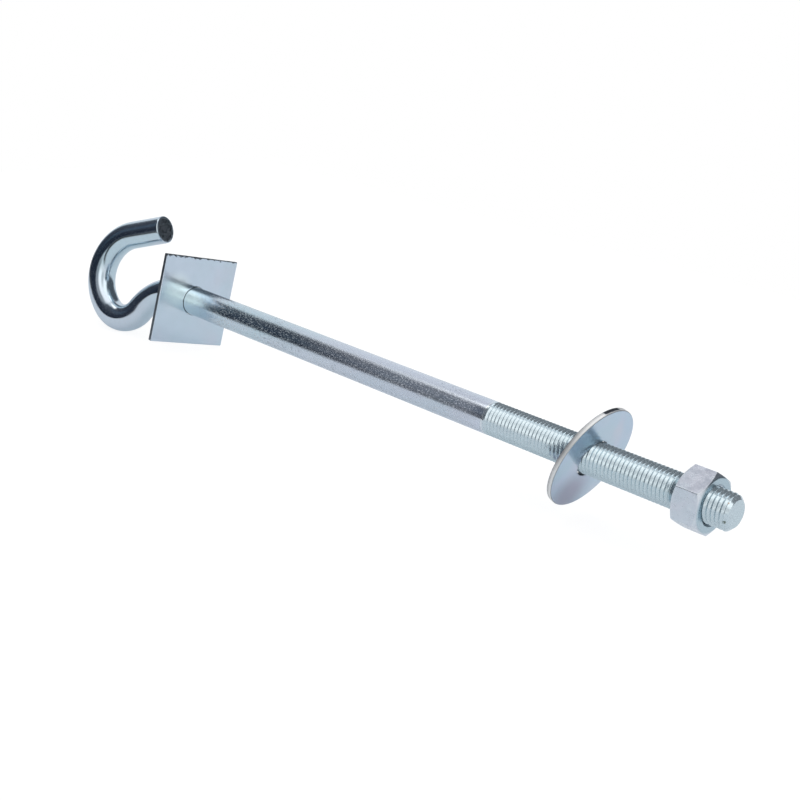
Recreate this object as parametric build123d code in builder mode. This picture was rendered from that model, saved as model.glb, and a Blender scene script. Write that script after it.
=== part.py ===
from build123d import *
from math import radians, sqrt, tan
import os

# A hooked bolt: a round rod with a J-shaped hook bent on one end and a thread
# on the other, a square plate fixed across the rod in front of the hook, and a
# loose washer and a hex nut on the threaded end. Millimetres.
#
# The origin is on the rod's axis, in the plate's bearing face. The rod runs
# along X, with its threaded end at +X and the hook at -X. Z is up, with the
# bolt lying on the hook's heel, one corner of the plate and the washer's rim.

# Rod
rod_diameter = 16.0
shank_length = 356.5        # from the plate's bearing face to the threaded end
rod_behind_plate = 17.5     # straight rod between that face and the first bend
end_chamfer = 2.0
nose_chamfer = 0.5

# Thread, M16 x 2. Its ridges stand as rings, one to each pitch.
thread_pitch = 2.0
thread_depth = 1.15
thread_start = 228.0        # from the plate's bearing face

# Hook, in the order of its bends away from the plate
crank_radius = 30.0
crank_angle = 63.0
heel_radius = 16.0
heel_angle = 96.0
crown_radius = 26.5
crown_angle = 124.0
nose_length = 23.0
hook_angle = 78.0           # from the plate's lower edge to the plane of the crank
hook_twist = -17.0          # of the loop's plane, about the rod where it meets the crank

# Square plate
plate_side = 50.0
plate_thickness = 2.5
plate_edge_round = 0.5

# Washer, which hangs loose and askew on the rod
washer_diameter = 50.0
washer_hole = 18.0
washer_thickness = 2.5
washer_edge_round = 0.3
washer_x = 284.5
washer_lean = 19.0
washer_swing = 1.7

# Hex nut
nut_across_flats = 24.0
nut_height = 13.0
nut_x = 333.5               # its inner face
nut_turn = 29.2
nut_face_radius = 0.475 * nut_across_flats
nut_chamfer_angle = 30.0
nut_running_gap = 0.05
nut_countersink = 0.9

# The bolt's roll about its rod as it lies
lying_roll = -11.0

rod_radius = rod_diameter / 2
nut_bore_radius = rod_radius + nut_running_gap
nut_corner_radius = nut_across_flats / sqrt(3)
nut_chamfer_height = (nut_corner_radius - nut_face_radius) * tan(radians(nut_chamfer_angle))

os.makedirs("parts", exist_ok=True)

# The thread's outline from the plain shank to the free end, where the chamfer
# cuts across the last ridge
root_radius = rod_radius - thread_depth
flank_slope = thread_depth / (thread_pitch / 2)
ridge_count = int((shank_length - end_chamfer - thread_start) / thread_pitch)
last_root = thread_start + (ridge_count + 0.5) * thread_pitch
chamfer_room = shank_length - last_root + rod_radius - end_chamfer - root_radius
chamfer_meets = chamfer_room / (1 + flank_slope)

thread_outline = [(thread_start, rod_radius)]
for ridge in range(ridge_count):
    groove_start = thread_start + ridge * thread_pitch
    thread_outline.append((groove_start + thread_pitch / 2, root_radius))
    thread_outline.append((groove_start + thread_pitch, rod_radius))
thread_outline.append((last_root, root_radius))
thread_outline.append((last_root + chamfer_meets, root_radius + chamfer_meets * flank_slope))
thread_outline.append((shank_length, rod_radius - end_chamfer))

# One rod: thread, shank, crank, heel, crown and nose. The bends follow each
# other at tangents.
crank_plane = Plane.XY.rotated((hook_angle + lying_roll, 0, 0))

with BuildPart() as hook_bolt:
    with BuildLine(crank_plane):
        shank = Line((thread_start, 0), (-rod_behind_plate, 0))
        crank = JernArc(shank @ 1, shank % 1, crank_radius, crank_angle)
    loop_normal = crank_plane.z_dir.rotate(Axis((0, 0, 0), crank % 1), hook_twist)
    with BuildLine(Plane(origin=crank @ 1, x_dir=crank % 1, z_dir=loop_normal)):
        heel = JernArc(crank @ 1, crank % 1, heel_radius, -heel_angle)
        crown = JernArc(heel @ 1, heel % 1, crown_radius, -crown_angle)
        nose = Line(crown @ 1, crown @ 1 + crown % 1 * nose_length)
    with BuildSketch(Plane(origin=shank @ 0, z_dir=shank % 0)):
        Circle(rod_radius)
    sweep()
    nose_face = hook_bolt.faces().filter_by(GeomType.PLANE).sort_by(Axis.X)[0]
    chamfer(nose_face.edges(), nose_chamfer)
    with BuildSketch(Plane.XY):
        with BuildLine():
            Polyline(
                (thread_start, 0),
                *thread_outline,
                (shank_length, 0),
                close=True,
            )
        make_face()
    revolve(axis=Axis.X)
hook_bolt.part.label = "hook_bolt"
export_step(hook_bolt.part, "parts/hook_bolt.step")

# The plate is a tight fit on the rod and square to it.
with BuildPart() as square_plate:
    with BuildSketch(Plane.YZ.rotated((lying_roll, 0, 0))):
        Rectangle(plate_side, plate_side)
        Circle(rod_radius, mode=Mode.SUBTRACT)
    extrude(amount=-plate_thickness)
    bearing_face = square_plate.faces().sort_by(Axis.X)[-1]
    fillet(bearing_face.outer_wire().edges(), plate_edge_round)
square_plate.part.label = "square_plate"
export_step(square_plate.part, "parts/square_plate.step")

with BuildPart() as round_washer:
    with BuildSketch(Plane.YZ.offset(washer_x).rotated((0, washer_lean, washer_swing))):
        Circle(washer_diameter / 2)
        Circle(washer_hole / 2, mode=Mode.SUBTRACT)
    extrude(amount=washer_thickness / 2, both=True)
    rims = round_washer.faces().filter_by(GeomType.PLANE)
    fillet([face.outer_wire().edge() for face in rims], washer_edge_round)
round_washer.part.label = "round_washer"
export_step(round_washer.part, "parts/round_washer.step")

with BuildPart() as hex_nut:
    with BuildSketch(Plane.YZ.offset(nut_x)):
        RegularPolygon(nut_corner_radius, 6, rotation=nut_turn)
        Circle(nut_bore_radius, mode=Mode.SUBTRACT)
    extrude(amount=nut_height)
    with BuildSketch(Plane.XY):
        with BuildLine():
            Polyline(
                (nut_x, 0),
                (nut_x, nut_face_radius),
                (nut_x + nut_chamfer_height, nut_corner_radius),
                (nut_x + nut_height - nut_chamfer_height, nut_corner_radius),
                (nut_x + nut_height, nut_face_radius),
                (nut_x + nut_height, 0),
                close=True,
            )
        make_face()
    revolve(axis=Axis.X, mode=Mode.INTERSECT)
    nut_faces = hex_nut.faces().filter_by(Axis.X)
    chamfer([face.inner_wires()[0].edge() for face in nut_faces], nut_countersink)
hex_nut.part.label = "hex_nut"
export_step(hex_nut.part, "parts/hex_nut.step")
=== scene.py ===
import bpy
import bmesh
from math import atan2, cos, hypot, pi, radians, sin, sqrt, tan
from mathutils import Matrix, Vector, noise


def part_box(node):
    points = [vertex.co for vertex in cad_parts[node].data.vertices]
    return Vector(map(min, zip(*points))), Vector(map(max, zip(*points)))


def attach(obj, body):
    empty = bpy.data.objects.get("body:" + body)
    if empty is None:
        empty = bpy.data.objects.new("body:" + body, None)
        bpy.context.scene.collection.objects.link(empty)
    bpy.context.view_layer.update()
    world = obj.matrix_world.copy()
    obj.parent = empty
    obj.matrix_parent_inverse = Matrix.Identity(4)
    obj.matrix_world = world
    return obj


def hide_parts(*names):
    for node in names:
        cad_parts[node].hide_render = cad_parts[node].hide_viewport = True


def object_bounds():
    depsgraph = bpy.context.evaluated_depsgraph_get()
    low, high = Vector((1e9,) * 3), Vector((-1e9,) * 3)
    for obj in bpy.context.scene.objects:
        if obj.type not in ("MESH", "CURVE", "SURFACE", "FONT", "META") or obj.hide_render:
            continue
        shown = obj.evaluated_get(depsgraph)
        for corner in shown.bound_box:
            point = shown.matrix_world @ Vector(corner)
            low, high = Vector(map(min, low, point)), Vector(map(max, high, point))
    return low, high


# A bright zinc plated J bolt: a bent and threaded rod, a square plate, a loose
# washer and a hex nut, lying on white paper. Metres, in the CAD model's frame:
# the rod along X with its thread at +X and the plate's face at X = 0, Z up.

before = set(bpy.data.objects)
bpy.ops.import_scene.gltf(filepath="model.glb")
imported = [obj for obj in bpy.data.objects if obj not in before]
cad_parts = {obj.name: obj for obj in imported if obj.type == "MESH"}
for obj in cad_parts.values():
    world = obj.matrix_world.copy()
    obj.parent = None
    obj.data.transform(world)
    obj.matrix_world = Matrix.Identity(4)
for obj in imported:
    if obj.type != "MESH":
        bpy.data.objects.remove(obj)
cad_lo, cad_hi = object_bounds()
mm = 0.001

# The rod's form, as in the CAD model. A bend is its centre line's radius and its angle.
ROD_R = 7.98 * mm
ROD_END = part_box("hook_bolt")[1].x
ROD_BACK = 17.5 * mm        # the straight behind the plate's face
ROLL = -11.0                # the bolt lies rolled about its own axis
CRANK_TILT = 78.0 + ROLL
CRANK = (30.0 * mm, 63.0)
HEEL = (16.0 * mm, 96.0)
CROWN = (26.5 * mm, 124.0)
LOOP_TWIST = -17.0
NOSE = 23.0 * mm
NOSE_EDGE = 0.7 * mm        # the length that the broken edge takes of the nose
NOSE_HOLLOW = 0.06 * mm
PITCH = 2.0 * mm
THREAD_DEPTH = 0.80 * mm
THREAD_START = 228.0 * mm
END_FACE_R = 6.0 * mm       # inside the 45 degree chamfer at the free end
# Half a turn of the thread, from root to crest: share of the pitch, share of the depth
HALF_THREAD = ((0.0, 1.0), (0.05, 0.92), (0.16, 0.70), (0.30, 0.41), (0.44, 0.12), (0.482, 0.03))

# The mesh's fineness
AROUND = 80                 # vertices round the rod
BEND_STEP = 1.1 * mm
WASHER_AROUND = 144

# How the loose parts lie, in degrees
WASHER_LEAN = 19.0
WASHER_YAW = 1.7
NUT_TURN = 29.2


def mesh_object(name, bm, body, replaced, smooth_angle=40.0):
    """The bmesh as a smooth-shaded piece that stands for a CAD node."""
    bmesh.ops.recalc_face_normals(bm, faces=bm.faces)
    mesh = bpy.data.meshes.new(name)
    bm.to_mesh(mesh)
    bm.free()
    for polygon in mesh.polygons:
        polygon.use_smooth = True
    mesh.set_sharp_from_angle(angle=radians(smooth_angle))
    piece = bpy.data.objects.new(name, mesh)
    bpy.context.scene.collection.objects.link(piece)
    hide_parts(replaced)
    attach(piece, body)
    return piece


def smoothstep(a, b, x):
    """0 below a, 1 above b and smooth between them."""
    t = min(1.0, max(0.0, (x - a) / (b - a)))
    return t * t * (3 - 2 * t)


def bridge(bm, a, b):
    """A band of faces between two rings of as many vertices."""
    n = len(a)
    for j in range(n):
        bm.faces.new((a[j], a[(j + 1) % n], b[(j + 1) % n], b[j]))


def fan(bm, ring, middle):
    """Closes a ring with triangles to one middle vertex."""
    n = len(ring)
    for j in range(n):
        bm.faces.new((ring[j], ring[(j + 1) % n], middle))


# ---------------------------------------------------------------- rod and hook
def hook_rings():
    """Rings from the thread's start back to the nose: centre, two unit vectors across, the way along."""
    rings = []
    point = Vector((THREAD_START, 0, 0))
    across = [Vector((0, 1, 0)), Vector((0, 0, 1))]
    along = Vector((-1, 0, 0))

    def straight(length, steps):
        nonlocal point
        for i in range(1, steps + 1):
            rings.append((point + along * length * i / steps, *across, along))
        point = point + along * length

    def bend(radius, angle, toward):
        """An arc towards the given side. Returns that side as it points at the arc's end."""
        nonlocal point, across, along
        centre = point + toward * radius
        axis = along.cross(toward)
        start = [point - centre, *across, along]
        steps = round(radius * radians(angle) / BEND_STEP)
        for i in range(1, steps + 1):
            turn = Matrix.Rotation(radians(angle) * i / steps, 3, axis)
            point = centre + turn @ start[0]
            across = [turn @ start[1], turn @ start[2]]
            along = turn @ start[3]
            rings.append((point, *across, along))
        return turn @ toward

    rings.append((point, *across, along))
    straight(THREAD_START + ROD_BACK, 60)
    tilt = radians(CRANK_TILT)
    toward = bend(*CRANK, -Vector((0, cos(tilt), sin(tilt))))
    toward = Matrix.Rotation(radians(LOOP_TWIST), 3, along) @ -toward
    toward = bend(*HEEL, toward)
    bend(*CROWN, toward)
    straight(NOSE - NOSE_EDGE, 14)
    return rings


def rod_vertex(bm, rod, co, s, a, radius):
    """A vertex that also keeps its place on the rod before it was bent."""
    vertex = bm.verts.new(co)
    vertex[rod] = (s, radius * cos(a), radius * sin(a))
    return vertex


def rod_ring(bm, rod, centre, u, v, radius, s):
    """One ring of the rod, s from the plate's face along its centre line."""
    ring = []
    for j in range(AROUND):
        a = 2 * pi * j / AROUND
        ring.append(rod_vertex(bm, rod, centre + radius * (cos(a) * u + sin(a) * v), s, a, radius))
    return ring


def build_hook(bm, rod, cut_face):
    """The shank and the bends, then the cut nose: a broken edge and a sheared, slightly hollow face."""
    broken_edge = ((0.35, 7.93), (0.12, 7.72), (0.02, 7.50), (0.0, 7.25))   # back from the face, and radius
    face_radii = (6.4, 5.2, 3.9, 2.6, 1.3)
    unevenness = 0.035 * mm
    rings = hook_rings()
    made = []
    s = THREAD_START
    last = rings[0][0]
    for centre, u, v, way in rings:
        s -= (centre - last).length
        last = centre
        made.append(rod_ring(bm, rod, centre, u, v, ROD_R, s))
    end = last + way * NOSE_EDGE
    for back, radius in broken_edge:
        back *= mm
        made.append(rod_ring(bm, rod, end - way * back, u, v, radius * mm, s - (NOSE_EDGE - back)))
    for a, b in zip(made, made[1:]):
        bridge(bm, a, b)
    for radius in face_radii:
        ring = rod_ring(bm, rod, end, u, v, radius * mm, s - NOSE_EDGE)
        for vertex in ring:
            wave = noise.noise(vertex.co * 600.0) + 0.6 * noise.noise(vertex.co * 1500.0)
            vertex.co -= way * (NOSE_HOLLOW + unevenness * wave)
            vertex[cut_face] = 1.0
        bridge(bm, made[-1], ring)
        made.append(ring)
    middle = rod_vertex(bm, rod, end - way * NOSE_HOLLOW, s - NOSE_EDGE, 0.0, 0.0)
    middle[cut_face] = 1.0
    fan(bm, made[-1], middle)


def build_thread(bm, rod, groove):
    """The rolled thread. A row of the grid runs once round the rod and one pitch along it.

    The grooves fade in from the shank, and the chamfer at the free end cuts the ridges off.
    """
    crest_drop = 0.02 * mm
    fade_from, fade_to = THREAD_START + 0.1 * PITCH, THREAD_START + 1.6 * PITCH
    profile = [*HALF_THREAD, *((1 - share, depth) for share, depth in HALF_THREAD[:0:-1])]
    turns = int((ROD_END - THREAD_START) / PITCH) + 3
    grid = []
    for at, depth in [(n + share, depth) for n in range(turns) for share, depth in profile]:
        row = []
        for j in range(AROUND):
            a = 2 * pi * j / AROUND
            x = THREAD_START + PITCH * (at - 1 + j / AROUND)
            x = min(ROD_END, max(THREAD_START, x))
            fade = smoothstep(fade_from, fade_to, x)
            radius = ROD_R - crest_drop * fade - THREAD_DEPTH * depth * fade
            chamfer = END_FACE_R + (ROD_END - x)
            on_chamfer = radius > chamfer
            radius = min(radius, chamfer)
            vertex = rod_vertex(bm, rod, (x, radius * cos(a), radius * sin(a)), x, a, radius)
            vertex[groove] = 0.0 if on_chamfer else depth * fade
            row.append(vertex)
        grid.append(row)
    step = len(profile)
    for i in range(len(grid) - 1):
        for j in range(AROUND - 1):
            bm.faces.new((grid[i][j], grid[i][j + 1], grid[i + 1][j + 1], grid[i + 1][j]))
        if i + 1 + step < len(grid):
            bm.faces.new((grid[i][-1], grid[i + step][0], grid[i + 1 + step][0], grid[i + 1][-1]))


def build_end_face(bm, rod):
    """The flat face at the threaded end."""
    centre, u, v = Vector((ROD_END, 0, 0)), Vector((0, 1, 0)), Vector((0, 0, 1))
    radii = (END_FACE_R, 5.6 * mm, 3.0 * mm)
    rings = [rod_ring(bm, rod, centre, u, v, radius, ROD_END) for radius in radii]
    for a, b in zip(rings, rings[1:]):
        bridge(bm, a, b)
    fan(bm, rings[-1], rod_vertex(bm, rod, centre, ROD_END, 0.0, 0.0))


def build_rod():
    """The bent rod. Attributes: its unbent place, the depth in the thread's grooves and the cut nose."""
    weld = 2e-7
    bm = bmesh.new()
    rod = bm.verts.layers.float_vector.new("rod")
    groove = bm.verts.layers.float.new("groove")
    cut_face = bm.verts.layers.float.new("cut")
    build_hook(bm, rod, cut_face)
    build_thread(bm, rod, groove)
    build_end_face(bm, rod)
    bmesh.ops.remove_doubles(bm, verts=bm.verts, dist=weld)
    bmesh.ops.dissolve_degenerate(bm, edges=bm.edges, dist=weld / 2)
    return mesh_object("bent_rod", bm, "bolt", "hook_bolt", 46.0)


# ------------------------------------------------------------------------ plate
def square_outline(half, corner, side_steps, corner_steps):
    """The plate's outline: four sides, each followed by its rounded corner."""
    outline = []
    for k in range(4):
        turn = k * pi / 2
        points = [(half, (half - corner) * (2 * i / side_steps - 1)) for i in range(side_steps)]
        for i in range(corner_steps):
            a = pi / 2 * i / corner_steps
            points.append((half - corner + corner * cos(a), half - corner + corner * sin(a)))
        outline += [(y * cos(turn) - z * sin(turn), y * sin(turn) + z * cos(turn)) for y, z in points]
    return outline


def build_plate():
    """A sheared square plate. Its edge attribute marks torn, dark metal."""
    lo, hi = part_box("square_plate")
    front, back = hi.x, lo.x
    half, corner, hole = 25.0 * mm, 0.5 * mm, 8.13 * mm
    top = half - 0.6 * mm       # vertices above this lie on the top edge
    chips = 1.3
    outline = square_outline(half, corner, side_steps=60, corner_steps=5)
    roll = Matrix.Rotation(radians(ROLL), 3, "X")
    bm = bmesh.new()
    edge = bm.verts.layers.float.new("edge")

    def outer(x, inset=0.0, rough=0.0, mark=0.0, chips=0.0):
        """The square outline at x, drawn in by inset and roughened. Chips mark torn spots along its top."""
        ring = []
        for y, z in outline:
            wave = 0.5 + 0.5 * noise.noise(Vector((y, z, x)) * 900.0)
            scale = 1 - (inset + rough * wave) / half
            vertex = bm.verts.new(roll @ Vector((x, y * scale, z * scale)))
            # a chip reaches as far in as its noise is high, and less far towards +Y
            ragged = noise.noise(Vector((y * 640.0, 40.0 * inset / mm, 3.1)))
            reach = 0.55 - 0.25 * smoothstep(-0.1 * half, 0.6 * half, y)
            torn = z > top and ragged > 0.72 * inset / mm - reach
            vertex[edge] = max(mark, chips if torn else 0.0)
            ring.append(vertex)
        return ring

    def inner(x, share, radius, mark=0.0):
        """A loop at x between the hole's circle, at share 0, and the square outline, at share 1."""
        ring = []
        for y, z in outline:
            a = atan2(z, y)
            ring_y, ring_z = radius * cos(a), radius * sin(a)
            p = Vector((x, ring_y + (y - ring_y) * share, ring_z + (z - ring_z) * share))
            vertex = bm.verts.new(roll @ p)
            vertex[edge] = mark
            ring.append(vertex)
        return ring

    loops = [
        inner(front - 0.45 * mm, 0.0, hole, mark=1.0),
        inner(front - 0.10 * mm, 0.0, hole + 0.04 * mm, mark=1.0),
        inner(front, 0.0, hole + 0.22 * mm),
        inner(front, 0.0, hole + 0.7 * mm),
        inner(front, 0.35, hole),
        inner(front, 0.7, hole),
        outer(front, 1.5 * mm),
        outer(front, 1.05 * mm, chips=chips),
        outer(front, 0.66 * mm, chips=chips),
        outer(front - 0.05 * mm, 0.24 * mm, chips=chips),
        outer(front - 0.18 * mm, 0.08 * mm, rough=0.02 * mm, chips=chips),
        outer(front - 0.42 * mm, 0.00 * mm, rough=0.03 * mm, mark=0.8),
        outer(front - 1.05 * mm, 0.00 * mm, rough=0.05 * mm, mark=1.0),
        outer(front - 1.35 * mm, 0.03 * mm, rough=0.16 * mm, mark=1.0),
        outer(front - 1.75 * mm, 0.05 * mm, rough=0.22 * mm, mark=1.0),
        outer(front - 2.25 * mm, 0.05 * mm, rough=0.20 * mm, mark=1.0),
        outer(back, 0.10 * mm, rough=0.14 * mm, mark=0.6),
        outer(back, 0.6 * mm),
        inner(back, 0.7, hole),
        inner(back, 0.35, hole),
        inner(back, 0.0, hole + 0.7 * mm),
        inner(back, 0.0, hole + 0.1 * mm),
        inner(back + 0.2 * mm, 0.0, hole, mark=1.0),
    ]
    for a, b in zip(loops, loops[1:] + loops[:1]):
        bridge(bm, a, b)
    return mesh_object("plate", bm, "bolt", "square_plate")


# ----------------------------------------------------------------------- washer
def build_washer():
    """A punched washer. Its edge attribute marks torn metal, its rim attribute the rolled rim, which the
    material paints near white as a highlight.
    """
    lo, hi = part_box("round_washer")
    centre = (lo + hi) / 2
    turn = Matrix.Rotation(radians(WASHER_LEAN), 3, "Y")
    turn = Matrix.Rotation(radians(WASHER_YAW), 3, "Z") @ turn
    bm = bmesh.new()
    edge = bm.verts.layers.float.new("edge")
    rim = bm.verts.layers.float.new("rim")
    # Radius and X in mm, and how torn the metal is, from the hole over the front and round the rim
    profile = (
        (9.00, 0.95, 1.0), (9.05, 1.12, 1.0), (9.20, 1.25, 0.2), (9.8, 1.25, 0),
        (13.0, 1.25, 0), (19.0, 1.25, 0), (23.9, 1.25, 0), (24.62, 1.25, 0),
        (24.78, 1.22, 0.6), (24.94, 1.05, 0.6), (25.0, 0.86, 0), (25.0, 0.2, 0),
        (24.99, -0.2, 0.25), (24.96, -0.6, 0.35), (24.95, -1.0, 0.6), (24.85, -1.18, 0.4),
        (24.7, -1.25, 0), (24.0, -1.25, 0), (19.0, -1.25, 0), (13.0, -1.25, 0),
        (9.9, -1.25, 0), (9.25, -1.25, 0.2), (9.06, -1.15, 0.6), (9.0, -0.95, 1.0),
    )
    rings = []
    for radius, x, mark in profile:
        ring = []
        for j in range(WASHER_AROUND):
            a = 2 * pi * j / WASHER_AROUND
            r = radius
            if mark > 0.5 and radius > 20:
                r -= 0.05 * (0.5 + 0.5 * noise.noise(Vector((cos(a) * 9, sin(a) * 9, x * 3))))
            p = Vector((x, r * cos(a), r * sin(a))) * mm
            vertex = bm.verts.new(centre + turn @ p)
            on_rim = radius > 24.9
            scar = on_rim and x < 0.5 and radians(80) < a < radians(104)
            vertex[edge] = 1.4 if scar else mark
            vertex[rim] = 1.0 if on_rim and not scar else 0.0
            ring.append(vertex)
        rings.append(ring)
    for a, b in zip(rings, rings[1:] + rings[:1]):
        bridge(bm, a, b)
    return mesh_object("washer", bm, "washer", "round_washer")


# -------------------------------------------------------------------------- nut
def hexagon_outline(flats, corner_r):
    """A hexagon with rounded corners, each followed by the flat to the next one."""
    reach = flats / sqrt(3) - corner_r / cos(radians(30))
    corner_steps, flat_steps = 6, 14

    def on_corner(mid, a):
        return reach * cos(mid) + corner_r * cos(a), reach * sin(mid) + corner_r * sin(a)

    outline = []
    for k in range(6):
        mid = radians(NUT_TURN + 60 * k)
        for i in range(corner_steps + 1):
            outline.append(on_corner(mid, mid + radians(60 * i / corner_steps - 30)))
        start = outline[-1]
        following = radians(NUT_TURN + 60 * (k + 1))
        stop = on_corner(following, following - radians(30))
        for i in range(1, flat_steps):
            t = i / flat_steps
            outline.append((start[0] + (stop[0] - start[0]) * t, start[1] + (stop[1] - start[1]) * t))
    return outline


def build_nut():
    """A hex nut in mm, chamfered at 30 degrees on both faces. Its edge attribute marks the edges that the
    material paints paler, partly as wear and partly as a painted highlight.
    """
    lo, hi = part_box("hex_nut")
    left, right = lo.x / mm, hi.x / mm
    face_r, bore = 11.4, 8.05
    slope = tan(radians(30.0))
    shoulder = 0.6              # where the flats' middle rings start, past the chamfer
    outline = [(y, z, hypot(y, z), atan2(z, y)) for y, z in hexagon_outline(24.0, 0.32)]
    bm = bmesh.new()
    edge = bm.verts.layers.float.new("edge")

    def loop(points, mark):
        ring = []
        for point in points:
            vertex = bm.verts.new(Vector(point) * mm)
            vertex[edge] = mark
            ring.append(vertex)
        return ring

    def circle(x, radius, mark=0.0):
        return loop([(x, radius * cos(a), radius * sin(a)) for y, z, r, a in outline], mark)

    def cone(end, sign, share, mark):
        """A loop on the chamfer, from the face's circle at share 0 to the hexagon at share 1."""
        points = []
        for y, z, r, a in outline:
            out = (r - face_r) * share
            points.append((end + sign * out * slope, (face_r + out) * cos(a), (face_r + out) * sin(a)))
        return loop(points, mark)

    def hexagon(end, sign, lift, mark=0.0):
        """A loop on the flats, lift inside the chamfer's curved edge."""
        return loop([(end + sign * ((r - face_r) * slope + lift), y, z) for y, z, r, a in outline], mark)

    def between(share):
        """A loop on the flats between the shoulders of both faces."""
        points = []
        for y, z, r, a in outline:
            depth = (r - face_r) * slope + shoulder
            points.append((left + depth + (right - left - 2 * depth) * share, y, z))
        return loop(points, 0.0)

    def half_nut(end, sign):
        """Loops from inside the bore over one face to the flats."""
        return [
            circle(end + sign * 2.4, bore),
            circle(end + sign * 0.95, bore, 0.6),
            circle(end + sign * 0.12, 8.86, 0.3),
            circle(end, 9.0, 0.6),
            circle(end, 9.25),
            circle(end, 10.3),
            circle(end, 11.2),
            circle(end, face_r, 0.5),
            cone(end, sign, 0.12, 0.2),
            cone(end, sign, 0.88, 0.3),
            hexagon(end, sign, 0.02, 0.8),
            hexagon(end, sign, 0.16, 0.5),
            hexagon(end, sign, shoulder),
        ]

    near, far = half_nut(left, 1), half_nut(right, -1)
    loops = near + [between(share) for share in (0.3, 0.5, 0.7)] + far[::-1]
    for a, b in zip(loops, loops[1:] + loops[:1]):
        bridge(bm, a, b)
    return mesh_object("nut", bm, "nut", "hex_nut")


rod = build_rod()
plate = build_plate()
washer = build_washer()
nut = build_nut()


# -------------------------------------------------------------------- materials
BLUE = (0.600, 0.670, 0.745)
TEAL = (0.540, 0.685, 0.745)
LILAC = (0.655, 0.695, 0.775)
ROSE = (0.80, 0.66, 0.76)
PALE = (0.820, 0.850, 0.880)
SLATE = (0.320, 0.360, 0.410)
FROST = (0.640, 0.750, 0.790)
RIM_HIGHLIGHT = (0.93, 0.93, 0.92)
TORN_STEEL = (0.045, 0.050, 0.060)


class Graph:
    """Short names for the nodes that the materials use."""

    def __init__(self, tree):
        self.tree = tree

    def new(self, kind, **values):
        node = self.tree.nodes.new(kind)
        for key, value in values.items():
            setattr(node, key, value)
        return node

    def link(self, a, b):
        self.tree.links.new(a, b)

    def fill(self, socket, value):
        """Sets a socket to a number or a colour, or links another node's output to it."""
        if isinstance(value, (int, float)):
            socket.default_value = value
        elif isinstance(value, tuple):
            socket.default_value = (*value, 1.0)
        else:
            self.link(value, socket)

    def math(self, operation, *values, clamp=False):
        node = self.new("ShaderNodeMath", operation=operation, use_clamp=clamp)
        for socket, value in zip(node.inputs, values):
            self.fill(socket, value)
        return node.outputs[0]

    def times(self, a, b):
        return self.math("MULTIPLY", a, b)

    def rest(self, value):
        """What a share leaves of the whole."""
        return self.math("SUBTRACT", 1.0, value)

    def attribute(self, name, output="Fac"):
        return self.new("ShaderNodeAttribute", attribute_name=name).outputs[output]

    def parts(self, vector):
        node = self.new("ShaderNodeSeparateXYZ")
        self.link(vector, node.inputs[0])
        return node.outputs

    def noise(self, vector, scale, detail=3.0, rough=0.55, distortion=0.0):
        node = self.new("ShaderNodeTexNoise", noise_dimensions="3D")
        self.link(vector, node.inputs["Vector"])
        node.inputs["Scale"].default_value = scale
        node.inputs["Detail"].default_value = detail
        node.inputs["Roughness"].default_value = rough
        node.inputs["Distortion"].default_value = distortion
        return node.outputs["Fac"]

    def scaled(self, vector, scale):
        node = self.new("ShaderNodeMapping", vector_type="POINT")
        self.link(vector, node.inputs["Vector"])
        node.inputs["Scale"].default_value = scale
        return node.outputs["Vector"]

    def remap(self, value, a, b, to_a, to_b):
        """A smooth step from to_a, where the value is a, to to_b, where it is b."""
        node = self.new("ShaderNodeMapRange", interpolation_type="SMOOTHSTEP")
        self.link(value, node.inputs["Value"])
        for name, v in (("From Min", a), ("From Max", b), ("To Min", to_a), ("To Max", to_b)):
            node.inputs[name].default_value = v
        return node.outputs["Result"]

    def mix(self, share, a, b):
        """Colour a, with a share of colour b."""
        node = self.new("ShaderNodeMix", data_type="RGBA")
        factor, first, second = node.inputs[0], node.inputs[6], node.inputs[7]
        for socket, value in ((factor, share), (first, a), (second, b)):
            self.fill(socket, value)
        return node.outputs[2]

    def near(self, place, point, full, gone):
        """1 within full metres of a point, fading to 0 at gone metres from it."""
        node = self.new("ShaderNodeVectorMath", operation="DISTANCE")
        self.link(place, node.inputs[0])
        node.inputs[1].default_value = point
        return self.remap(node.outputs["Value"], full, gone, 1.0, 0.0)

    def bump(self, height, strength, distance, before=None):
        node = self.new("ShaderNodeBump")
        self.link(height, node.inputs["Height"])
        node.inputs["Strength"].default_value = strength
        node.inputs["Distance"].default_value = distance
        if before is not None:
            self.link(before, node.inputs["Normal"])
        return node.outputs["Normal"]


def new_material(name):
    """A metal material with a bare shader, ready for its graph."""
    material = bpy.data.materials.new(name)
    material.use_nodes = True
    tree = material.node_tree
    tree.nodes.clear()
    g = Graph(tree)
    shader = g.new("ShaderNodeBsdfPrincipled")
    g.link(shader.outputs["BSDF"], g.new("ShaderNodeOutputMaterial").inputs["Surface"])
    shader.inputs["Metallic"].default_value = 1.0
    return material, g, shader


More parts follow.
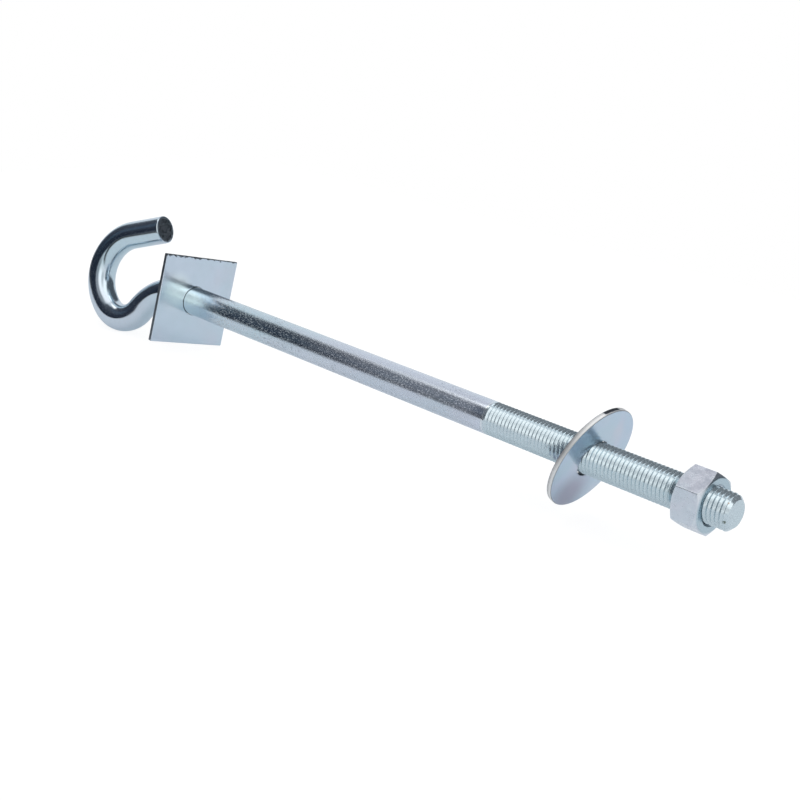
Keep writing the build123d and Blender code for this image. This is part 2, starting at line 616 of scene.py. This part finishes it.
def zinc_sheet(name, base, coat_scale, pink, shine, painted_spot):
    """Zinc on sheet: a soft tinted film, one patch of painted light or shade given by the call, a rim
    painted near white as a highlight, fine scratches and dark torn edges.
    """
    material, g, shader = new_material(name)
    place = g.new("ShaderNodeTexCoord").outputs["Object"]
    edge, rim = g.attribute("edge"), g.attribute("rim")
    tint = g.noise(place, coat_scale, 2.0, 0.5, 0.4)
    blush = g.noise(place, coat_scale * 1.6, 2.0, 0.5, 0.3)
    fine = g.noise(place, 900.0, 4.0, 0.65)
    specks = g.noise(place, 700.0, 2.0, 0.5)
    torn = g.noise(g.scaled(place, (2.0, 1.0, 1.0)), 1600.0, 4.0, 0.6)
    spot_at, spot_full, spot_gone, spot_share, spot_colour = painted_spot
    colour = g.mix(g.remap(tint, 0.40, 0.66, 0.0, 0.45), base, TEAL)
    colour = g.mix(g.remap(blush, 0.46, 0.80, 0.0, pink), colour, ROSE)
    # The painted patch: a painted reflection of the rod on the plate, painted shade on the washer
    colour = g.mix(g.times(g.near(place, spot_at, spot_full, spot_gone), spot_share), colour, spot_colour)
    colour = g.mix(g.remap(fine, 0.60, 0.78, 0.0, 0.35), colour, PALE)
    colour = g.mix(g.remap(specks, 0.72, 0.78, 0.0, 0.5), colour, SLATE)
    # Painted highlight: the washer's rim is painted near white, and its metal is made half diffuse below
    colour = g.mix(rim, colour, RIM_HIGHLIGHT)
    dark = g.math("MULTIPLY", edge, g.remap(torn, 0.30, 0.62, 1.0, 0.70), clamp=True)
    g.link(g.mix(dark, colour, TORN_STEEL), shader.inputs["Base Color"])
    rough = g.remap(g.noise(place, 160.0, 4.0, 0.6), 0.3, 0.7, 0.13, 0.24)
    rough = g.math("ADD", rough, g.times(g.math("MAXIMUM", edge, rim), 0.25))
    g.link(rough, shader.inputs["Roughness"])
    g.link(g.math("MULTIPLY_ADD", rim, 0.5 - shine, shine), shader.inputs["Metallic"])
    normal = g.bump(g.noise(place, 45.0, 2.0, 0.5), 0.10, 0.8 * mm)
    normal = g.bump(fine, 0.05, 0.1 * mm, normal)
    normal = g.bump(g.times(torn, edge), 0.7, 0.2 * mm, normal)
    g.link(normal, shader.inputs["Normal"])
    return material


def film_on_rod(g, place, along, thread):
    """The film's tints: blue, teal and lilac patches and frosted on the thread; pale by the plate, a
    painted reflection of the plate; and a thin pale line where the thread starts, a painted highlight.
    """
    plate_reflection, dull, lip_highlight = (0.76, 0.87, 0.89), (0.660, 0.710, 0.820), (0.88, 0.91, 0.93)
    tint = g.noise(g.scaled(place, (0.35, 1.0, 1.0)), 60.0, 2.0, 0.5, 0.5)
    blush = g.noise(g.scaled(place, (0.3, 1.0, 1.0)), 38.0, 2.0, 0.5, 0.5)
    colour = g.mix(g.remap(tint, 0.38, 0.62, 0.0, 0.75), BLUE, TEAL)
    lilac = g.times(g.remap(blush, 0.40, 0.62, 0.0, 0.85), g.remap(along, 50 * mm, 150 * mm, 0.2, 1.0))
    colour = g.mix(g.times(lilac, g.math("MULTIPLY_ADD", thread, -0.9, 1.0)), colour, LILAC)
    colour = g.mix(g.times(thread, 0.75), colour, FROST)
    # Painted reflection of the plate: the rod turns pale close to it
    from_plate = g.math("ABSOLUTE", along)
    colour = g.mix(g.remap(from_plate, 6 * mm, 22 * mm, 0.7, 0.0), colour, plate_reflection)
    colour = g.mix(g.times(g.remap(along, 90 * mm, 170 * mm, 0.0, 0.6), g.rest(thread)), colour, dull)
    # Painted highlight: a thin pale line where the thread starts
    from_lip = g.math("ABSOLUTE", g.math("SUBTRACT", along, THREAD_START + 0.2 * mm))
    return g.mix(g.remap(from_lip, 0.2 * mm, 0.5 * mm, 0.6, 0.0), colour, lip_highlight)


def speckle_on_rod(g, place, along):
    """Fine crystals in the zinc, coarser towards the plate."""
    drawn = g.scaled(place, (0.55, 1.0, 1.0))
    fine = g.noise(drawn, 2000.0, 3.0, 0.65)
    coarse = g.noise(drawn, 1500.0, 2.0, 0.6)
    finer = g.remap(along, 85 * mm, 115 * mm, 0.0, 1.0)
    return g.math("ADD", g.times(fine, finer), g.times(coarse, g.rest(finer)))


def zinc_rod():
    """Zinc on drawn bar: smooth where it was bent, speckled along the shank, frosted on the thread."""
    root_shade, cut_dark, cut_light = (0.30, 0.42, 0.46), (0.012, 0.016, 0.024), (0.06, 0.08, 0.10)
    oil, rust = (0.07, 0.09, 0.05), (0.50, 0.28, 0.12)
    oil_at = (ROD_END - 1.0 * mm, -6.6 * mm, -2.2 * mm)
    rust_at = (ROD_END - 1.4 * mm, -5.0 * mm, 5.4 * mm)
    material, g, shader = new_material("zinc_on_drawn_rod")
    place = g.attribute("rod", "Vector")
    solid = g.new("ShaderNodeTexCoord").outputs["Object"]
    along = g.parts(place)["X"]
    cut = g.attribute("cut")
    thread = g.remap(along, THREAD_START - 2 * mm, THREAD_START + 2 * mm, 0.0, 1.0)
    shank = g.times(g.remap(along, 0.0, 30 * mm, 0.15, 1.0), g.remap(along, 218 * mm, 231 * mm, 1.0, 0.25))
    speck = speckle_on_rod(g, place, along)
    flecks = g.remap(g.noise(place, 800.0, 3.0, 0.65), 0.46, 0.66, 0.0, 0.8)

    colour = film_on_rod(g, place, along, thread)
    colour = g.mix(g.times(g.remap(speck, 0.52, 0.70, 0.0, 0.5), shank), colour, PALE)
    colour = g.mix(g.times(g.remap(speck, 0.28, 0.42, 0.3, 0.0), shank), colour, SLATE)
    marks = g.remap(g.noise(g.scaled(place, (0.5, 1.0, 1.0)), 1000.0, 3.0, 0.65), 0.57, 0.63, 0.0, 0.75)
    marks = g.times(marks, g.remap(g.noise(place, 42.0, 2.0, 0.5), 0.51, 0.58, 0.0, 1.0))
    colour = g.mix(g.times(marks, shank), colour, SLATE)
    # Painted shade: darker in the thread's roots
    colour = g.mix(g.remap(g.attribute("groove"), 0.55, 1.0, 0.0, 0.1), colour, root_shade)
    colour = g.mix(g.times(cut, 0.85), colour, g.mix(flecks, cut_dark, cut_light))
    stain = g.times(g.near(solid, oil_at, 0.3 * mm, 1.1 * mm), g.remap(speck, 0.40, 0.56, 0.2, 1.0))
    colour = g.mix(stain, colour, oil)
    colour = g.mix(g.times(g.near(solid, rust_at, 0.1 * mm, 0.6 * mm), 0.8), colour, rust)
    g.link(colour, shader.inputs["Base Color"])

    # Haze: the crystals are less metallic than the film between them, and more so towards the thread
    haze = g.remap(along, 70 * mm, 200 * mm, 0.0, 0.27)
    crystals = g.remap(along, 60 * mm, 200 * mm, 0.50, 0.72)
    haze = g.math("MULTIPLY_ADD", g.remap(speck, 0.50, 0.67, 0.0, 1.0), crystals, haze)
    haze = g.math("MULTIPLY_ADD", haze, shank, g.times(thread, 0.18))
    g.link(g.rest(haze), shader.inputs["Metallic"])

    streaks = g.scaled(place, (0.12, 1.0, 1.0))
    rough = g.remap(g.noise(streaks, 220.0, 4.0, 0.6), 0.3, 0.7, 0.10, 0.20)
    rough = g.math("ADD", rough, g.times(shank, 0.06))
    g.link(g.times(rough, g.math("MULTIPLY_ADD", thread, -0.3, 1.0)), shader.inputs["Roughness"])
    grain = g.noise(g.scaled(place, (0.5, 1.0, 1.0)), 2100.0, 3.0, 0.6)
    grain = g.times(grain, g.times(shank, g.remap(along, 80 * mm, 200 * mm, 1.3, 0.8)))
    normal = g.bump(g.noise(streaks, 120.0, 2.0, 0.5), 0.12, 0.6 * mm)
    normal = g.bump(grain, 0.5, 0.1 * mm, normal)
    normal = g.bump(g.times(flecks, cut), 0.5, 0.3 * mm, normal)
    g.link(normal, shader.inputs["Normal"])
    return material


def zinc_nut():
    """Zinc on a forged nut: lilac flats with small knocks, paler edges that are partly wear and partly a
    painted highlight, and duller end faces.
    """
    flat_lilac, flat_blue = (0.690, 0.715, 0.785), (0.660, 0.720, 0.785)
    worn_and_glint, dull = (0.90, 0.92, 0.93), (0.42, 0.56, 0.62)
    lo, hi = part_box("hex_nut")
    middle, half = (lo.x + hi.x) / 2, (hi.x - lo.x) / 2
    material, g, shader = new_material("zinc_on_forged_nut")
    place = g.new("ShaderNodeTexCoord").outputs["Object"]
    fine = g.noise(place, 800.0, 4.0, 0.65)
    tint = g.noise(place, 90.0, 2.0, 0.5, 0.5)
    colour = g.mix(g.remap(tint, 0.36, 0.64, 0.15, 0.95), flat_lilac, flat_blue)
    colour = g.mix(g.remap(fine, 0.52, 0.74, 0.0, 0.38), colour, PALE)
    # Paler along the edges: wear, with a painted highlight on them
    colour = g.mix(g.times(g.attribute("edge"), 0.5), colour, worn_and_glint)
    from_middle = g.math("ABSOLUTE", g.math("SUBTRACT", g.parts(place)["X"], middle))
    colour = g.mix(g.remap(from_middle, half - 0.6 * mm, half - 0.1 * mm, 0.0, 0.70), colour, dull)
    knocks = g.noise(place, 420.0, 2.0, 0.5)
    colour = g.mix(g.remap(knocks, 0.70, 0.78, 0.0, 0.5), colour, SLATE)
    g.link(colour, shader.inputs["Base Color"])
    shader.inputs["Metallic"].default_value = 0.93
    g.link(g.remap(g.noise(place, 260.0, 4.0, 0.6), 0.3, 0.7, 0.17, 0.30), shader.inputs["Roughness"])
    normal = g.bump(g.noise(place, 130.0, 2.0, 0.5), 0.14, 0.6 * mm)
    normal = g.bump(fine, 0.07, 0.12 * mm, normal)
    g.link(normal, shader.inputs["Normal"])
    return material


# A painted reflection of the rod on the plate beside it, and painted shade, tinted pink, low on the washer
# where it mirrors the paper in the bolt's shadow: the place, the radius where it is full and where it is
# gone, its share and its colour
# painted reflection of the rod on the plate
plate_rod_reflection = ((0.0, -13.5 * mm, 7.5 * mm), 4 * mm, 13 * mm, 0.85, (0.84, 0.93, 0.94))
# painted shade low on the washer, where it mirrors the paper in shadow, tinted pink
washer_floor_shade = ((279.5 * mm, -6 * mm, -17 * mm), 3 * mm, 18 * mm, 0.85, (0.400, 0.385, 0.475))
plate_base, washer_base = (0.640, 0.725, 0.820), (0.545, 0.660, 0.785)
rod.data.materials.append(zinc_rod())
plate.data.materials.append(zinc_sheet("zinc_on_plate", plate_base, 32.0, 0.2, 0.95, plate_rod_reflection))
washer.data.materials.append(zinc_sheet("zinc_on_washer", washer_base, 45.0, 0.3, 0.84, washer_floor_shade))
nut.data.materials.append(zinc_nut())


# ------------------------------------------------------------------------ floor
def white_paper():
    """White paper: the camera sees it white with a faint shadow, metal with the whole shadow.

    Metal also sees it go dark along its -Y edge, except before the thread, and dim at its -X edge.
    """
    albedo, black = (0.88, 0.88, 0.88), (0.0, 0.0, 0.0)
    plain_white, cool_white = (1.0, 1.0, 1.0), (0.91, 1.0, 1.09)
    camera_glow, camera_unlit = 0.90, 0.75
    metal_glow, metal_lit = 0.37, 0.68
    paper = bpy.data.materials.new("white_paper")
    paper.use_nodes = True
    paper.node_tree.nodes.clear()
    g = Graph(paper.node_tree)
    path = g.new("ShaderNodeLightPath")
    seen = path.outputs["Is Camera Ray"]
    mirrored = g.math("MAXIMUM", path.outputs["Is Glossy Ray"], path.outputs["Is Transmission Ray"])
    place = g.parts(g.new("ShaderNodeNewGeometry").outputs["Position"])
    off_edge = g.remap(place["Y"], -0.215, -0.175, 0.06, 1.0)
    by_thread = g.remap(place["X"], 0.20, 0.28, 0.06, 1.0)
    off_side = g.remap(place["X"], -0.32, -0.22, 0.25, 1.0)
    table = g.times(g.math("MAXIMUM", off_edge, by_thread), off_side)

    glow = g.new("ShaderNodeEmission")
    g.link(g.mix(mirrored, plain_white, cool_white), glow.inputs["Color"])
    strength = g.math("MULTIPLY_ADD", g.times(mirrored, table), metal_glow, g.times(seen, camera_glow))
    g.link(strength, glow.inputs["Strength"])
    surfaces = []
    for colour in (albedo, black):
        diffuse = g.new("ShaderNodeBsdfDiffuse")
        g.fill(diffuse.inputs["Color"], colour)
        surfaces.append(diffuse.outputs[0])
    unlit = g.times(mirrored, g.math("MULTIPLY_ADD", table, -metal_lit, 1.0))
    dim = g.new("ShaderNodeMixShader")
    g.link(g.math("MULTIPLY_ADD", seen, camera_unlit, unlit), dim.inputs["Fac"])
    g.link(surfaces[0], dim.inputs[1])
    g.link(surfaces[1], dim.inputs[2])
    both = g.new("ShaderNodeAddShader")
    g.link(dim.outputs[0], both.inputs[0])
    g.link(glow.outputs[0], both.inputs[1])
    g.link(both.outputs[0], g.new("ShaderNodeOutputMaterial").inputs["Surface"])
    return paper


def build_floor():
    """A sheet of paper under the bolt's lowest point."""
    middle = (cad_lo + cad_hi) / 2
    half_x, half_y = 0.70, 0.50
    mesh = bpy.data.meshes.new("floor")
    bm = bmesh.new()
    corners = []
    for sx, sy in ((-1, -1), (1, -1), (1, 1), (-1, 1)):
        corners.append(bm.verts.new((middle.x + sx * half_x, middle.y + sy * half_y, cad_lo.z)))
    bm.faces.new(corners)
    bm.to_mesh(mesh)
    bm.free()
    mesh.materials.append(white_paper())
    floor = bpy.data.objects.new("floor", mesh)
    bpy.context.scene.collection.objects.link(floor)


# ------------------------------------------------------------------------ light
def build_world():
    """The studio: pale all round, softboxes round the camera, and a dark gap to its left and right.

    Directions are in degrees: azimuth from -Y towards +X, where the camera stands at 53, and height
    above the horizon. A later patch lies over the earlier ones.
    """
    world = bpy.data.worlds.new("studio")
    bpy.context.scene.world = world
    world.use_nodes = True
    world.node_tree.nodes.clear()
    g = Graph(world.node_tree)
    x, y, z = g.parts(g.new("ShaderNodeTexCoord").outputs["Generated"])
    azimuth = g.times(g.math("ARCTAN2", x, g.times(y, -1.0)), 180 / pi)
    height = g.times(g.math("ARCSINE", z), 180 / pi)

    def step(value, at, soft, start, end):
        return g.remap(value, at - soft, at + soft, start, end)

    def zone(low, high, soft, floor_at, floor_soft, roof_at=None, roof_soft=8.0):
        """1 between two azimuths and above the patch's floor, and below its roof where it has one."""
        inside = g.times(step(azimuth, low, soft, 0.0, 1.0), step(azimuth, high, soft, 1.0, 0.0))
        inside = g.times(inside, step(height, floor_at, floor_soft, 0.0, 1.0))
        if roof_at is None:
            return inside
        return g.times(inside, step(height, roof_at, roof_soft, 1.0, 0.0))

    right_gap = (0.10, 0.112, 0.131)
    left_gap = g.mix(g.remap(height, 2, 50, 0.0, 1.0), (0.018, 0.025, 0.041), (0.068, 0.077, 0.097))
    left_gap = g.mix(zone(-51, -34, 5, 14, 8, 60), left_gap, (0.066, 0.092, 0.128))
    patches = (
        ((8, 100, 6, -2, 8), (1.0, 1.0, 1.0)),                  # the wall behind the camera
        ((-178, -98, 6, 45, 8), (0.76, 0.76, 0.80)),            # the ceiling on the far side
        ((-178, -98, 6, 57, 4), (0.46, 0.46, 0.51)),
        ((28, 50, 5, 8, 5), (1.40, 1.395, 1.38)),               # a softbox left of the camera
        ((20, 98, 6, 40, 6), (1.35, 1.34, 1.33)),               # one above it
        ((73, 98, 4, 20, 6), (1.48, 1.47, 1.46)),               # and one to its right
        ((53, 70, 4, 8, 5, 30), (0.70, 0.71, 0.73)),            # a dimmer field between them
        ((4, 24, 6, 0, 5, 52), (0.37, 0.385, 0.41)),            # half dark, beside the left gap
        ((-90, 3, 7, -7, 4, 66), left_gap),
        ((-96, -78, 5, -7, 4, 36), (0.085, 0.10, 0.125)),       # the left gap's far end
        ((104, 190, 6, -1, 5, 50), right_gap),
        ((126, 190, 8, 40, 8, 66), right_gap),
        ((-190, -152, 6, 8, 6, 56), right_gap),                 # which goes on past 180 degrees
        ((-90, -60, 6, 49.2, 3.2), (1.90, 1.87, 1.80)),         # a lamp high over the left gap
    )
    light = (0.82, 0.865, 0.91)
    for patch, colour in patches:
        light = g.mix(zone(*patch), light, colour)
    seen = g.new("ShaderNodeLightPath").outputs["Is Camera Ray"]
    back = g.new("ShaderNodeBackground")
    g.link(g.mix(seen, light, (1.0, 1.0, 1.0)), back.inputs["Color"])
    back.inputs["Strength"].default_value = 1.0
    g.link(back.outputs[0], g.new("ShaderNodeOutputWorld").inputs["Surface"])


def softbox(name, place, aim, size, brightness):
    lamp = bpy.data.lights.new(name, "AREA")
    lamp.shape = "RECTANGLE"
    lamp.size, lamp.size_y = size
    lamp.energy = brightness * pi * size[0] * size[1]
    box = bpy.data.objects.new(name, lamp)
    bpy.context.scene.collection.objects.link(box)
    box.location = place
    box.rotation_mode = "QUATERNION"
    box.rotation_quaternion = (Vector(aim) - Vector(place)).to_track_quat("-Z", "Y")
    box.visible_camera = False


# ----------------------------------------------------------------------- camera
def build_camera(place, forward, up, focal_length):
    """A camera on 36 mm of sensor. The three directions are made square to each other."""
    camera = bpy.data.cameras.new("camera")
    camera.lens = focal_length
    camera.sensor_width = 36.0
    camera.clip_start, camera.clip_end = 0.02, 40.0
    cam = bpy.data.objects.new("camera", camera)
    bpy.context.scene.collection.objects.link(cam)
    back = -Vector(forward).normalized()
    right = Vector(up).cross(back).normalized()
    turn = Matrix((right, back.cross(right).normalized(), back)).transposed()
    cam.matrix_world = Matrix.Translation(place) @ turn.to_4x4()
    bpy.context.scene.camera = cam


build_floor()
build_world()
softbox("top", place=(0.15, 0.45, 1.30), aim=(0.1, 0, 0), size=(0.8, 0.5), brightness=1.3)
build_camera(
    place=(0.593689, -0.438972, 0.192653),
    forward=(-0.6605, 0.6823, -0.3134),
    up=(-0.2830, 0.1604, 0.9456),
    focal_length=59.52,
)

bpy.context.scene.view_settings.view_transform = "Standard"
